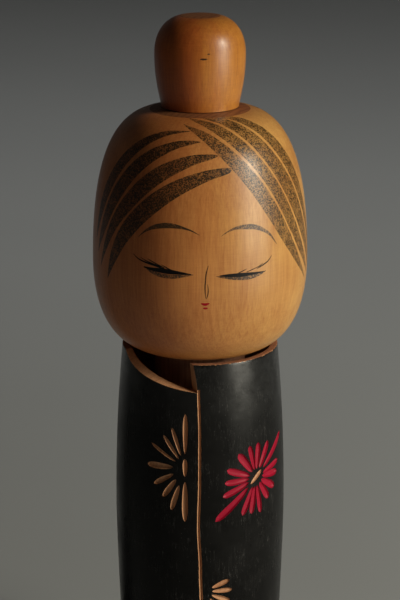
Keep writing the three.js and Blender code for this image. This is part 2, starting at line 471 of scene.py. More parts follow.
def kimono_finish(rim_height):
    """Black paint, rubbed through to brown wood in a thin broken line at rim and foot."""
    sockets = {"Specular IOR Level": 0.16, "Coat Roughness": 0.24}
    material, tree, shader = surface("black_kimono_paint", sockets)
    wear = group_node(tree, handling_wear, {"Gloss": 0.22, "Scratches": 0.7})
    grain = group_node(tree, wood_figure, CUT_GRAIN)
    height = axis_of(tree, "Z")
    near_rim = ramp(tree, height, rim_height / MM - 0.7, rim_height / MM)
    near_foot = ramp(tree, height, 1.8, 0.0)
    edges = calc(tree, "MAXIMUM", near_rim, near_foot)
    broken = noise(tree, millimetres(tree, (1, 1, 0.6)), 0.9, 4.0, 0.7)
    rubbed = ramp(tree, calc(tree, "MULTIPLY_ADD", edges, 0.42, broken), 0.86, 0.95)
    colour = blend_colours(tree, rubbed, wear["Color"], grain["Color"])
    rough = calc(tree, "MULTIPLY_ADD", rubbed, 0.2, wear["Roughness"])
    # hands hold the doll by its collar, and polish the wax there
    held = ramp(tree, height, rim_height / MM - 34, rim_height / MM - 4, 0.0, 0.85)
    patchy = ramp(tree, noise(tree, millimetres(tree), 0.2, 5.0, 0.75), 0.3, 0.68, 0.3, 1.0)
    feed(tree, shader, {"Coat Weight": calc(tree, "MULTIPLY", held, patchy)})
    lay_on(tree, shader, colour, rough, wear["Relief"], 0.12, BRUSH_DEPTH)
    return material


red_paint = painted(
    "red_petal_paint",
    {
        "Color": (0.35, 0.005, 0.028, 1),
        "Scratch Color": (0.40, 0.02, 0.035, 1),
        "Scratches": 0.4,
        "Gloss": 0.36,
    },
)
print("painted finishes:", red_paint.name)


# %% [markdown]
# ## Turning a block
# Everything here starts on the lathe, so one Geometry Nodes tree does what the lathe
# does: it takes an outline, a row of points from the axis round the section and back to
# the axis, and carries it round. A flat grid gives the faces, each grid point looks up
# its outline point, and its column says how far round it has been carried. Merging the
# seam and the two poles closes the skin.

# %% Lathe tree
SEAM_GAP = 0.002 * MM


def build_lathe_tree():
    tree = bpy.data.node_groups.new("turned_on_the_lathe", "GeometryNodeTree")
    name_sockets(
        tree,
        [("Outline", "NodeSocketGeometry", None), ("Sides", "NodeSocketInt", 256)],
        [("Geometry", "NodeSocketGeometry")],
    )
    given = add_node(tree, "NodeGroupInput").outputs
    size = add_node(tree, "GeometryNodeAttributeDomainSize", {"Geometry": given["Outline"]})
    rows = size.outputs["Point Count"]
    columns = calc(tree, "ADD", given["Sides"], 1.0)
    grid = add_node(tree, "GeometryNodeMeshGrid", {"Vertices X": columns, "Vertices Y": rows})
    index = add_node(tree, "GeometryNodeInputIndex").outputs[0]
    row = calc(tree, "FLOORED_MODULO", index, rows)
    column = calc(tree, "FLOOR", calc(tree, "DIVIDE", index, rows))
    here = add_node(tree, "GeometryNodeInputPosition").outputs[0]
    lookup = {"Geometry": given["Outline"], "Value": here, "Index": row}
    sample = add_node(tree, "GeometryNodeSampleIndex", data_type="FLOAT_VECTOR")
    feed(tree, sample, lookup)
    point = add_node(tree, "ShaderNodeSeparateXYZ", {0: sample.outputs[0]}).outputs
    share = calc(tree, "DIVIDE", column, given["Sides"])
    angle = calc(tree, "MULTIPLY_ADD", share, math.tau, math.pi)
    across = calc(tree, "MULTIPLY", point["X"], calc(tree, "SINE", angle))
    depth = calc(tree, "MULTIPLY", point["X"], calc(tree, "COSINE", angle))
    behind = calc(tree, "MULTIPLY", depth, -1.0)
    spot = {"X": across, "Y": behind, "Z": point["Z"]}
    turned = add_node(tree, "ShaderNodeCombineXYZ", spot).outputs[0]
    moved = {"Geometry": grid.outputs["Mesh"], "Position": turned}
    shape = add_node(tree, "GeometryNodeSetPosition", moved).outputs[0]
    welded = {"Geometry": shape, "Distance": SEAM_GAP}
    closed = add_node(tree, "GeometryNodeMergeByDistance", welded).outputs[0]
    add_node(tree, "NodeGroupOutput", {"Geometry": closed})
    return tree


lathe_tree = build_lathe_tree()
# a modifier keeps a tree's input under the socket's identifier
sides_key = lathe_tree.interface.items_tree["Sides"].identifier


# %% From a blank to a block
def link_object(name, mesh):
    thing = bpy.data.objects.new(name, mesh)
    bpy.context.scene.collection.objects.link(thing)
    return thing


def discard(thing):
    """Deletes an object and its mesh."""
    mesh = thing.data
    bpy.data.objects.remove(thing)
    bpy.data.meshes.remove(mesh)


def plain_mesh(source, name):
    """What the modifiers make of an object, kept as a plain mesh on a new object."""
    bpy.context.view_layer.update()
    depsgraph = bpy.context.evaluated_depsgraph_get()
    mesh = bpy.data.meshes.new_from_object(source.evaluated_get(depsgraph))
    discard(source)
    mesh.name = name
    return link_object(name, mesh)


def face_outwards(mesh):
    """Recalculates which way the faces point and returns the enclosed volume."""
    work = bmesh.new()
    work.from_mesh(mesh)
    bmesh.ops.recalc_face_normals(work, faces=work.faces)
    if work.calc_volume(signed=True) < 0:
        bmesh.ops.reverse_faces(work, faces=work.faces)
    volume = work.calc_volume(signed=True)
    work.to_mesh(mesh)
    work.free()
    return volume


def smooth_with_crisp_edges(mesh, degrees=32):
    mesh.polygons.foreach_set("use_smooth", [True] * len(mesh.polygons))
    mesh.set_sharp_from_angle(angle=math.radians(degrees))


def turn_block(name, outline, sides, finish):
    """Turns (radius, height) points, in metres, into a closed block."""
    mesh = bpy.data.meshes.new(name + "_outline")
    points = [(radius, 0, height) for radius, height in outline]
    mesh.from_pydata(points, [(i, i + 1) for i in range(len(points) - 1)], [])
    blank = link_object(name + "_blank", mesh)
    lathe = blank.modifiers.new("lathe", "NODES")
    lathe.node_group = lathe_tree
    lathe[sides_key] = sides
    block = plain_mesh(blank, name)
    block.data.materials.clear()
    block.data.materials.append(finish)
    block.data.polygons.foreach_set("material_index", [0] * len(block.data.polygons))
    volume = face_outwards(block.data)
    print(f"turned {name}: {len(block.data.polygons)} faces, {volume * 1e6:.1f} cm3")
    return block


def name_zones(block, finishes, zone_at):
    """Adds finishes to a block; zone_at picks each face's from its radius and height."""
    for finish in finishes:
        block.data.materials.append(finish)
    for face in block.data.polygons:
        centre = face.center
        face.material_index = zone_at(math.hypot(centre.x, centre.y), centre.z)


# %% [markdown]
# ## Outlines
# An outline is drawn as a turner would: straight runs, round stretches held by two
# handles, and corners that sandpaper has softened. These helpers draw those three.

# %% Outline helpers
def bezier(start, start_handle, end_handle, end, share):
    left = 1 - share
    weights = (left**3, 3 * left**2 * share, 3 * left * share**2, share**3)
    points = (start, start_handle, end_handle, end)
    return tuple(sum(w * p[axis] for w, p in zip(weights, points)) for axis in (0, 1))


def round_stretch(start, start_handle, end_handle, end, steps):
    return [bezier(start, start_handle, end_handle, end, i / steps) for i in range(steps + 1)]


def soften(outline, radius, steps=4, sharpest=25):
    """Rounds every corner of an outline that turns by more than the sharpest angle."""
    result = [outline[0]]
    for before, corner, after in zip(outline, outline[1:], outline[2:]):
        come = Vector(corner) - Vector(before)
        leave = Vector(after) - Vector(corner)
        if come.angle(leave) < math.radians(sharpest):
            result.append(corner)
            continue
        reach = min(radius, come.length * 0.45, leave.length * 0.45)
        start = Vector(corner) - come.normalized() * reach
        end = Vector(corner) + leave.normalized() * reach
        for i in range(steps + 1):
            share = i / steps
            first = start.lerp(Vector(corner), share)
            second = Vector(corner).lerp(end, share)
            result.append(tuple(first.lerp(second, share)))
    result.append(outline[-1])
    return result


def straight(start, end, steps):
    """Evenly spaced points of a straight run, without its last one."""
    first, last = Vector(start), Vector(end)
    return [tuple(first.lerp(last, i / steps)) for i in range(steps)]


# %% [markdown]
# ## The trunk
# The real trunk is one block. The turner leaves a neck in the middle and a thin collar
# wall round it, bores the neck for the dowel, and the carver then opens the neckline and
# cuts the lines through the black paint. So it is built in that order: turn the block,
# name which of its zones are bare wood, then cut.

# %% Trunk outline
trunk_low, trunk_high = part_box("trunk")
peg_low, peg_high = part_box("neck_peg")
TRUNK_HEIGHT = trunk_high.z
BELLY_RADIUS = trunk_high.x
BELLY_HEIGHT = 86 * MM
FOOT_RADIUS = 28.8 * MM
FOOT_CHAMFER = 1.2 * MM
RIM_RADIUS = 29.3 * MM
COLLAR_WALL = 2.6 * MM
COLLAR_DEPTH = 14 * MM
NECK_RADIUS = 17 * MM
NECK_TOP = TRUNK_HEIGHT - 1.1 * MM
CUP_FILLET = 2.5 * MM
DOWEL_GAP = 0.3 * MM
BORE_SPARE = 0.8 * MM
BORE_RADIUS = peg_high.x + DOWEL_GAP
BORE_FLOOR = peg_low.z - BORE_SPARE


def wall_radius(height):
    """The trunk's outer radius: widest at the belly, drawn in above and below it."""
    if height > BELLY_HEIGHT:
        share = (height - BELLY_HEIGHT) / (TRUNK_HEIGHT - BELLY_HEIGHT)
        return BELLY_RADIUS - (BELLY_RADIUS - RIM_RADIUS) * share**2
    share = (BELLY_HEIGHT - max(height, 0)) / BELLY_HEIGHT
    return BELLY_RADIUS - (BELLY_RADIUS - FOOT_RADIUS) * share**1.5


def trunk_outline():
    steps = 130
    cup_floor = TRUNK_HEIGHT - COLLAR_DEPTH
    inner_wall = RIM_RADIUS - COLLAR_WALL
    foot = wall_radius(0) - FOOT_CHAMFER
    points = [(0, 0)]
    # shallow lathe rings under the foot
    for share in (0.22, 0.4, 0.58, 0.76):
        ring = foot * share
        points += [(ring - 0.5 * MM, 0), (ring, 0.25 * MM), (ring + 0.5 * MM, 0)]
    points.append((foot, 0))
    for i in range(steps + 1):
        height = FOOT_CHAMFER + (TRUNK_HEIGHT - FOOT_CHAMFER) * i / steps
        points.append((wall_radius(height), height))
    points += straight((inner_wall, TRUNK_HEIGHT), (inner_wall, cup_floor), 12)
    points += [(inner_wall, cup_floor), (NECK_RADIUS + CUP_FILLET, cup_floor)]
    points += round_stretch(
        (NECK_RADIUS + CUP_FILLET, cup_floor),
        (NECK_RADIUS + CUP_FILLET / 2, cup_floor),
        (NECK_RADIUS, cup_floor + CUP_FILLET / 2),
        (NECK_RADIUS, cup_floor + CUP_FILLET),
        8,
    )[1:]
    points += [(NECK_RADIUS, NECK_TOP), (BORE_RADIUS, NECK_TOP)]
    points += [(BORE_RADIUS, BORE_FLOOR), (0, BORE_FLOOR)]
    return soften(points, 0.35 * MM)


black_paint = kimono_finish(TRUNK_HEIGHT)
trunk = turn_block("kimono_trunk", trunk_outline(), 288, black_paint)
PAINT, BARE, END = range(3)
PAINT_DEPTH = 0.3 * MM
RIM_BAND = 0.06 * MM


def trunk_zone(radius, height):
    """Bare wood on the collar's rim and inside, the neck and the foot; all but the foot take
    darker wood, painted shade of the head.
    """
    if height < PAINT_DEPTH:
        return END
    if radius < wall_radius(height) - PAINT_DEPTH or height > TRUNK_HEIGHT - RIM_BAND:
        return BARE
    return PAINT


name_zones(trunk, (shaded_cup_wood, end_grain), trunk_zone)


# %% [markdown]
# ## Tools that cut the trunk
# Each cut is a closed tool bent round the trunk, and one Boolean modifier takes them all
# away. The tool carries the finish that the fresh cut shows, so a gouge through black
# paint leaves bare wood, or red where the petals were painted afterwards. A tool is
# described flat, as places along a line with a width and a depth, and one function bends
# it to the wall.

# %% Cutting helpers
def on_wall(azimuth, height, out=0.0):
    """The point on the trunk's wall at an azimuth in degrees, moved out from it."""
    angle = math.radians(azimuth)
    radius = wall_radius(height) + out
    return Vector((radius * math.sin(angle), -radius * math.cos(angle), height))


def sweep_tool(name, line, widths, depth, finish, sides=8):
    """A spindle along a line of (azimuth, height), as wide as each of widths says."""
    rings = []
    for i, (azimuth, height) in enumerate(line):
        ahead = line[min(i + 1, len(line) - 1)]
        behind = line[max(i - 1, 0)]
        run = Vector(on_wall(*ahead)) - Vector(on_wall(*behind))
        angle = math.radians(azimuth)
        out = Vector((math.sin(angle), -math.cos(angle), 0))
        side = run.cross(out).normalized()
        centre = on_wall(azimuth, height)
        share = widths[i] / max(widths)
        ring = []
        for k in range(sides):
            turn = math.tau * k / sides
            across = side * (math.cos(turn) * widths[i] / 2)
            bite = out * (math.sin(turn) * depth * math.sqrt(share))
            ring.append(centre + across + bite)
        rings.append(ring)
    return loft(name, rings, finish)


def loft(name, rings, finish):
    """Joins rings of points into one closed tool."""
    work = bmesh.new()
    rows = [[work.verts.new(point) for point in ring] for ring in rings]
    count = len(rows[0])
    for first, second in zip(rows, rows[1:]):
        for k in range(count):
            work.faces.new((first[k], first[(k + 1) % count], second[(k + 1) % count], second[k]))
    work.faces.new(rows[0][::-1])
    work.faces.new(rows[-1])
    mesh = bpy.data.meshes.new(name)
    work.to_mesh(mesh)
    work.free()
    face_outwards(mesh)
    mesh.materials.append(finish)
    return link_object(name, mesh)


def cut_away(block, tools):
    """Takes the tools' joined shape out of a block and deletes them."""
    shelf = bpy.data.collections.new("tools")
    for tool in tools:
        shelf.objects.link(tool)
    cut = block.modifiers.new("cut", "BOOLEAN")
    cut.operation = "DIFFERENCE"
    cut.solver = "EXACT"
    cut.operand_type = "COLLECTION"
    cut.collection = shelf
    cut.material_mode = "TRANSFER"
    result = plain_mesh(block, block.name)
    for tool in tools:
        discard(tool)
    bpy.data.collections.remove(shelf)
    return result


# %% [markdown]
# ## The neckline and the overlap
# Two cuts dress the doll. The neckline is a wide scoop out of the collar wall, with the
# upper lapel's edge at its right, and the overlap is one long V cut from the neckline to
# the foot. It was cut freehand, so it wavers and its width changes a little as it goes.

# %% Neckline and overlap
LAPEL_EDGE_TOP = -7.2
LAPEL_EDGE_FOOT = -4.4
LAPEL_SLANT = 3.4
OVERLAP_START = -1
NECKLINE_DEPTH = 10.5 * MM
NECKLINE_PULL = (-60, TRUNK_HEIGHT - 5.7 * MM)
NECKLINE_END = -72
NECKLINE_BEVEL = 1.2 * MM
OVERLAP_WIDTH = 1.15 * MM
OVERLAP_DEPTH = 0.8 * MM


def neckline_tool():
    """Opens the collar wall: a curve on the left, and the upper lapel's edge.

    The blade was tilted, so towards the inside of the wall the cut climbs, most of all
    halfway along, and the lapel's edge leans to the left.
    """
    steps = 48
    above = TRUNK_HEIGHT + 2 * MM
    low = (LAPEL_EDGE_FOOT, TRUNK_HEIGHT - NECKLINE_DEPTH)
    end = (NECKLINE_END, TRUNK_HEIGHT + 0.3 * MM)
    inner = (NECK_RADIUS + RIM_RADIUS) / 2
    outer = BELLY_RADIUS + COLLAR_WALL
    rings = []
    for i in range(steps + 1):
        share = i / steps
        left = 1 - share
        azimuth, height = (
            left**2 * low[axis] + 2 * left * share * NECKLINE_PULL[axis] + share**2 * end[axis]
            for axis in (0, 1)
        )
        top_azimuth = LAPEL_EDGE_TOP + (NECKLINE_END - LAPEL_EDGE_TOP) * share
        climb = 4 * share * left * NECKLINE_BEVEL
        ring = []
        for turn, radius, z in (
            (azimuth, inner, height),
            (azimuth, outer, height),
            (top_azimuth, outer, above),
            (top_azimuth, inner, above),
        ):
            inwards = (RIM_RADIUS - radius) / COLLAR_WALL
            angle = math.radians(turn - LAPEL_SLANT * left * inwards)
            place = (radius * math.sin(angle), -radius * math.cos(angle), z + climb * inwards)
            ring.append(place)
        rings.append(ring)
    return loft("neckline_tool", rings, cut_wood)


def overlap_tool():
    """The wavering V cut where one lapel lies over the other, neckline to foot."""
    draw = random.Random(5)
    bends = [OVERLAP_START, -0.2, -0.25, -1.0, 0.3, 1.1, 1.6, 1.2, 1.7]
    top = TRUNK_HEIGHT - NECKLINE_DEPTH + OVERLAP_WIDTH
    steps = 120
    line, widths = [], []
    for i in range(steps + 1):
        place = i / steps * (len(bends) - 1)
        k = min(int(place), len(bends) - 2)
        share = place - k
        share = share * share * (3 - 2 * share)
        azimuth = bends[k] + (bends[k + 1] - bends[k]) * share
        line.append((azimuth, top - (top + OVERLAP_WIDTH) * i / steps))
        grow = 0.8 + 0.45 * i / steps
        widths.append(OVERLAP_WIDTH * grow * (1 + 0.1 * draw.uniform(-1, 1)))
    return sweep_tool("overlap_tool", line, widths, OVERLAP_DEPTH, cut_wood, 4)


# %% [markdown]
# ## Carved flowers
# A flower is a ring of single pushes with a gouge: each starts near the middle, sinks,
# and lifts out at the tip, so it is widest and deepest in its middle. A short dash is
# the flower's heart, and the two petals in line with it are the longest. The petals are
# listed as the carver might call them out, by direction, reach and width, because no two
# are alike. Flowers that the overlap would cross are only half cut.

# %% Gouge work
HEART_WIDTH = 1.8
SHARP_TIP = 2.6
BLUNT_TIP = 4.0


def petal_tool(name, centre, direction, start, reach, width, blunt, finish):
    """One push of the gouge, from start to reach (mm) along a direction (degrees)."""
    steps = 14
    turn = math.radians(direction)
    radius = wall_radius(centre[1])
    line, widths = [], []
    for i in range(steps + 1):
        share = i / steps
        along = (start + (reach - start) * share) * MM
        azimuth = centre[0] + math.degrees(along * math.cos(turn) / radius)
        line.append((azimuth, centre[1] + along * math.sin(turn)))
        belly = 1 - abs(2 * share - 1) ** blunt
        spread = 0.7 + 0.3 * min(1, 1.6 * share)
        widths.append(width * MM * spread * max(math.sqrt(belly), 0.05))
    return sweep_tool(name, line, widths, 0.24 * width * MM + 0.25 * MM, finish)


def flower_tools(name, azimuth, height, lean, dash, petals, blunt, finish):
    """The heart dash and the petals of one flower, all turned by lean degrees."""
    centre = (azimuth, height * MM)
    tools = []
    if dash:
        heart = (lean, -dash / 2, dash / 2, HEART_WIDTH, SHARP_TIP, cut_wood)
        tools.append(petal_tool(name + "_heart", centre, *heart))
    for i, (direction, start, reach, width) in enumerate(petals):
        push = (lean + direction, start, reach, width, blunt, finish)
        tools.append(petal_tool(f"{name}_petal_{i + 1}", centre, *push))
    return tools


# %% Flowers
# direction from the dash (degrees), start, reach and width (mm)
HALF_FLOWER = [
    (0, 5.4, 20.6, 1.9),
    (19, 4.9, 15.9, 1.5),
    (36, 4.1, 14.5, 1.5),
    (60, 4.3, 15.9, 1.3),
    (92, 4.6, 15.4, 2.6),
    (122, 5.2, 14.6, 2.0),
    (145, 5.9, 14.9, 2.2),
    (163, 7.4, 17.8, 2.1),
    (180, 5.5, 21.2, 2.3),
]
FULL_FLOWER = [
    (-2, 4.6, 21.8, 2.6),
    (22, 3.5, 14.4, 2.6),
    (45, 3.1, 13.4, 2.6),
    (64, 3.0, 13.2, 2.3),
    (88, 3.0, 13.2, 3.1),
    (120, 3.2, 13.6, 2.9),
    (142, 3.4, 13.6, 2.6),
    (162, 3.8, 15.4, 2.6),
    (182, 5.0, 22.8, 2.9),
    (206, 3.8, 15.4, 2.6),
    (221, 3.5, 14.4, 2.6),
    (239, 3.3, 14.9, 2.4),
    (264, 3.0, 12.2, 2.9),
    (289, 3.0, 12.8, 3.0),
    (315, 3.1, 13.2, 2.9),
    (333, 3.6, 14.4, 2.5),
]
FAN_FLOWER = [
    (112, 3.9, 11.2, 2.0),
    (90, 3.7, 11.6, 2.0),
    (67, 3.9, 11.7, 2.0),
    (44, 4.2, 12.6, 1.9),
    (22, 4.6, 13.6, 1.9),
    (0, 5.2, 18.5, 2.1),
]


def all_tools():
    bare, red = (SHARP_TIP, cut_wood), (BLUNT_TIP, red_paint)
    tools = [neckline_tool(), overlap_tool()]
    tools += flower_tools("left_half_flower", -10.0, 110.5, 90, 6.8, HALF_FLOWER, *bare)
    tools += flower_tools("red_flower", 41, 104.2, 39, 7.0, FULL_FLOWER, *red)
    tools += flower_tools("fan_flower", 1.6, 61, -90, 0, FAN_FLOWER, *bare)
    tools += flower_tools("low_red_flower", -52, 30, 68, 7.6, FULL_FLOWER, *red)
    tools += flower_tools("back_red_flower", 172, 100, 140, 7.6, FULL_FLOWER, *red)
    tools += flower_tools("back_bare_flower", -128, 68, 20, 7.2, FULL_FLOWER, *bare)
    tools += flower_tools("side_bare_flower", 112, 40, 120, 7.2, FULL_FLOWER, *bare)
    return tools


trunk = cut_away(trunk, all_tools())
smooth_with_crisp_edges(trunk.data)
finish_names = [material.name if material else None for material in trunk.data.materials]
print("carved trunk:", len(trunk.data.polygons), "faces, finishes", finish_names)


# %% [markdown]
# ## The dowel
# The head turns on a plain hardwood dowel pushed into the neck. It only shows when the
# head is lifted, so it is a turned stick with rounded ends and raw, unwaxed wood.

# %% Dowel
def peg_outline():
    radius, low, high = peg_high.x, peg_low.z, peg_high.z
    chamfer = 1 * MM
    points = [(0, low), (radius - chamfer, low), (radius, low + chamfer)]
    points += straight((radius, low + 2 * chamfer), (radius, high - 2 * chamfer), 16)
    points += [(radius, high - chamfer), (radius - chamfer, high), (0, high)]
    return soften(points, 0.4 * MM)


peg = turn_block("neck_dowel", peg_outline(), 96, dowel_wood)
smooth_with_crisp_edges(peg.data)


# %% [markdown]
# ## The head
# The head's outline is two round stretches that meet at its widest, low down at the
# cheeks, and a bare ring on the crown where the turner's chuck held it. The same outline
# is kept as a list, because the painter's strokes are later laid on it by azimuth and by
# distance down from the crown.

# %% Head outline
head_low, head_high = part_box("head")
HEAD_FLOOR = head_low.z
HEAD_RADIUS = head_high.x
CROWN_RISE = 0.8 * MM
HEAD_TOP = head_high.z - CROWN_RISE
WIDEST = HEAD_FLOOR + 33.7 * MM
SEAT_RADIUS = 17.4 * MM
CROWN_RADIUS = 18.5 * MM
TOPKNOT_SEAT = 15.2 * MM
TENON_BORE = 5.3 * MM
TENON_DEPTH = 11.8 * MM


def head_skin():
    """The painted skin's outline, from the crown's ring down to the seat."""
    over = round_stretch(
        (CROWN_RADIUS, HEAD_TOP),
        (CROWN_RADIUS + 17.9 * MM, HEAD_TOP - 2.9 * MM),
        (HEAD_RADIUS, WIDEST + 25.9 * MM),
        (HEAD_RADIUS, WIDEST),
        76,
    )
    under = round_stretch(
        (HEAD_RADIUS, WIDEST),
        (HEAD_RADIUS, WIDEST - 18 * MM),
        (SEAT_RADIUS + 16.5 * MM, HEAD_FLOOR),
        (SEAT_RADIUS, HEAD_FLOOR),
        52,
    )
    return over + under[1:]


skin = head_skin()


def head_outline():
    top = head_high.z
    bore_end = peg_high.z + BORE_SPARE
    points = [(0, bore_end), (BORE_RADIUS, bore_end), (BORE_RADIUS, HEAD_FLOOR)]
    points += skin[::-1]
    points += [(TOPKNOT_SEAT, top), (TENON_BORE, top)]
    points += [(TENON_BORE, top - TENON_DEPTH), (0, top - TENON_DEPTH)]
    return soften(points, 0.3 * MM, 4, 30)


HEAD_SIDE, CROWN_RING, SEAT_CUT = range(3)


def head_zone(radius, height):
    """End grain on the crown's ring, and cut wood on the seat and in the bores."""
    if height > HEAD_TOP and radius < CROWN_RADIUS:
        return CROWN_RING
    return SEAT_CUT if radius < SEAT_RADIUS else HEAD_SIDE


head = turn_block("painted_head", head_outline(), 320, head_wood)
name_zones(head, (end_grain, cut_wood), head_zone)
smooth_with_crisp_edges(head.data)


# %% [markdown]
# ## The topknot
# A small turned bun with a tenon under it. Its small flat top is end grain, which drinks
# the wax and goes darker than the sides, so that zone takes the end-grain finish.

# %% Topknot
knot_low, knot_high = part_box("topknot")
TENON_LENGTH = 11 * MM
KNOT_FLOOR = knot_low.z + TENON_LENGTH
KNOT_RADIUS = knot_high.x
KNOT_WIDEST = KNOT_FLOOR + 19.2 * MM
KNOT_BASE = 14.3 * MM
KNOT_TOP_RADIUS = 6.5 * MM
KNOT_TOP_BAND = 0.1 * MM
TENON_RADIUS = 5 * MM


def topknot_outline():
    top = knot_high.z
    points = [(0, knot_low.z), (TENON_RADIUS, knot_low.z), (TENON_RADIUS, KNOT_FLOOR)]
    points += round_stretch(
        (KNOT_BASE, KNOT_FLOOR),
        (KNOT_BASE, KNOT_FLOOR + 2.1 * MM),
        (KNOT_RADIUS, KNOT_WIDEST - 11 * MM),
        (KNOT_RADIUS, KNOT_WIDEST),
        34,
    )
    points += round_stretch(
        (KNOT_RADIUS, KNOT_WIDEST),
        (KNOT_RADIUS, top - 5.5 * MM),
        (KNOT_TOP_RADIUS + 5.7 * MM, top - 0.6 * MM),
        (KNOT_TOP_RADIUS, top),
        36,
    )[1:]
    points.append((0, top))
    return soften(points, 0.3 * MM, 4, 30)


topknot = turn_block("topknot_bun", topknot_outline(), 192, topknot_finish(KNOT_FLOOR))
KNOT_SIDE, KNOT_TOP = range(2)


def topknot_zone(radius, height):
    return KNOT_TOP if height > knot_high.z - KNOT_TOP_BAND else KNOT_SIDE


name_zones(topknot, [end_grain], topknot_zone)
smooth_with_crisp_edges(topknot.data)


# %% [markdown]
# ## Brush strokes on the head
# Paint on a kokeshi is a few confident strokes. Each is modelled as what it is, a film a
# few hundredths of a millimetre thick that follows the wood: a ribbon of points laid on
# the skin by azimuth and distance down from the crown, raised a little, with its rim
# turned down into the wood. A stroke can then be told apart from its ground in any
# light, and its tapering tips are real shape, not a picture of one.

# %% Skin coordinates
def measure_skin():
    """Distance down the skin from the crown's ring, at each point of its outline."""
    run = [0.0]
    for (r0, z0), (r1, z1) in zip(skin, skin[1:]):
        run.append(run[-1] + math.hypot(r1 - r0, z1 - z0))
    return run


skin_run = measure_skin()
print(f"the skin is {skin_run[-1] / MM:.1f} mm long from crown to seat")


def between(value, known, results):
    """Straight-line look-up in a rising list."""
    value = min(max(value, known[0]), known[-1])
    k = max(i for i in range(len(known) - 1) if known[i] <= value)
    share = (value - known[k]) / (known[k + 1] - known[k])
    return results[k] + (results[k + 1] - results[k]) * share


SKIN_RADII = [point[0] for point in skin]
SKIN_HEIGHTS = [point[1] for point in skin]


def skin_radius(down):
    return between(down, skin_run, SKIN_RADII)


def down_at(height_mm):
    """Distance down the skin of a place this many millimetres above the seat."""
    depths = [HEAD_TOP - z for z in SKIN_HEIGHTS]
    return between(HEAD_TOP - HEAD_FLOOR - height_mm * MM, depths, skin_run)


def on_skin(azimuth, down, lift):
    angle = math.radians(azimuth)
    radius = skin_radius(down)
    height = between(down, skin_run, SKIN_HEIGHTS)
    ahead, behind = down + 0.2 * MM, max(down - 0.2 * MM, 0)
    fall = between(ahead, skin_run, SKIN_HEIGHTS) - between(behind, skin_run, SKIN_HEIGHTS)
    widen = skin_radius(ahead) - skin_radius(behind)
    length = math.hypot(fall, widen)
    out_r, out_z = -fall / length, widen / length
    radius += lift * out_r
    return Vector((radius * math.sin(angle), -radius * math.cos(angle), height + lift * out_z))


# %% [markdown]
# ## A film of paint
# A film's top and its sunken underside have the same places, so the film closes all
# round. A stroke is a smooth curve through a few places, cut into rows that run across
# it, and each row is as wide as the brush was there.

# %% Paint film
FILM_SUNK = -0.05 * MM


def paint_film(name, rows, lift, finish):
    """A closed film over rows of skin places, each row running across the stroke."""
    work = bmesh.new()
    top = [[work.verts.new(on_skin(*place, lift)) for place in row] for row in rows]
    rims = [[work.verts.new(on_skin(*place, FILM_SUNK)) for place in row] for row in rows]
    last = len(rows[0]) - 1
    for i in range(len(rows) - 1):
        for k in range(last):
            work.faces.new((top[i][k], top[i][k + 1], top[i + 1][k + 1], top[i + 1][k]))
            work.faces.new((rims[i][k], rims[i + 1][k], rims[i + 1][k + 1], rims[i][k + 1]))
        for k in (0, last):
            work.faces.new((top[i][k], top[i + 1][k], rims[i + 1][k], rims[i][k]))
    for i in (0, len(rows) - 1):
        for k in range(last):
            work.faces.new((top[i][k], top[i][k + 1], rims[i][k + 1], rims[i][k]))
    mesh = bpy.data.meshes.new(name)
    work.to_mesh(mesh)
    work.free()
    face_outwards(mesh)
    smooth_with_crisp_edges(mesh, 50)
    mesh.materials.append(finish)
    return link_object(name, mesh)


def pass_through(values, share):
    """A smooth curve through the middle two of four values."""
    a, b, c, d = values
    straight_part = (c - a) * share
    bend = (2 * a - 5 * b + 4 * c - d) * share**2
    twist = (3 * b - a - 3 * c + d) * share**3
    return 0.5 * (2 * b + straight_part + bend + twist)


def stroke_rows(places, widths, across, per_step):
    """Rows across a stroke whose centre passes through the places (azimuth, down)."""
    rows = []
    count = len(places) - 1
    for i in range(count * per_step + 1):
        spot = i / per_step
        k = min(int(spot), count - 1)
        share = spot - k
        around = [places[min(max(k + j, 0), count)] for j in (-1, 0, 1, 2)]
        centre = [pass_through([p[axis] for p in around], share) for axis in (0, 1)]
        ahead = [pass_through([p[axis] for p in around], share + 0.02) for axis in (0, 1)]
        radius = skin_radius(centre[1])
        run = math.radians(ahead[0] - centre[0]) * radius
        fall = ahead[1] - centre[1]
        length = math.hypot(run, fall)
        span = [widths[min(max(k + j, 0), count)] for j in (-1, 0, 1, 2)]
        width = max(pass_through(span, share), 0.05 * MM)
        row = []
        for j in range(across + 1):
            offset = width * (j / across - 0.5)
            azimuth = centre[0] + math.degrees(-fall / length * offset / radius)
            row.append((azimuth, centre[1] + run / length * offset))
        rows.append(row)
    return rows


# %% [markdown]
# ## Stippled hair
# The hair is dabbed on with a nearly dry brush, so each stroke is a cloud of brown dots
# with the wood showing between them. The finish mixes the head's own wood, stained a
# little, with the brown through a mask of small round cells.

# %% Stipple finish
def build_stipple_group():
    tree = bpy.data.node_groups.new("dry_brush_stipple", "ShaderNodeTree")
    name_sockets(
        tree,
        [("Dots Per mm", NUMBER, 3.2), ("Cover", NUMBER, 0.7)],
        [("Mask", NUMBER)],
    )
    given = add_node(tree, "NodeGroupInput").outputs
    cells = {"Vector": millimetres(tree), "Scale": given["Dots Per mm"], "Randomness": 1.0}
    dabs = add_node(tree, "ShaderNodeTexVoronoi", cells).outputs["Color"]
    chance = add_node(tree, "ShaderNodeSeparateColor", {"Color": dabs}).outputs["Red"]
    uneven = noise(tree, millimetres(tree), 0.3, 1.0)
    level = calc(tree, "MULTIPLY_ADD", uneven, 0.6, chance)
    limit = calc(tree, "MULTIPLY_ADD", given["Cover"], -1.0, 1.36)
    mask = ramp(tree, calc(tree, "SUBTRACT", level, limit), -0.2, 0.25)
    add_node(tree, "NodeGroupOutput", {"Mask": mask})
    return tree


stipple = build_stipple_group()


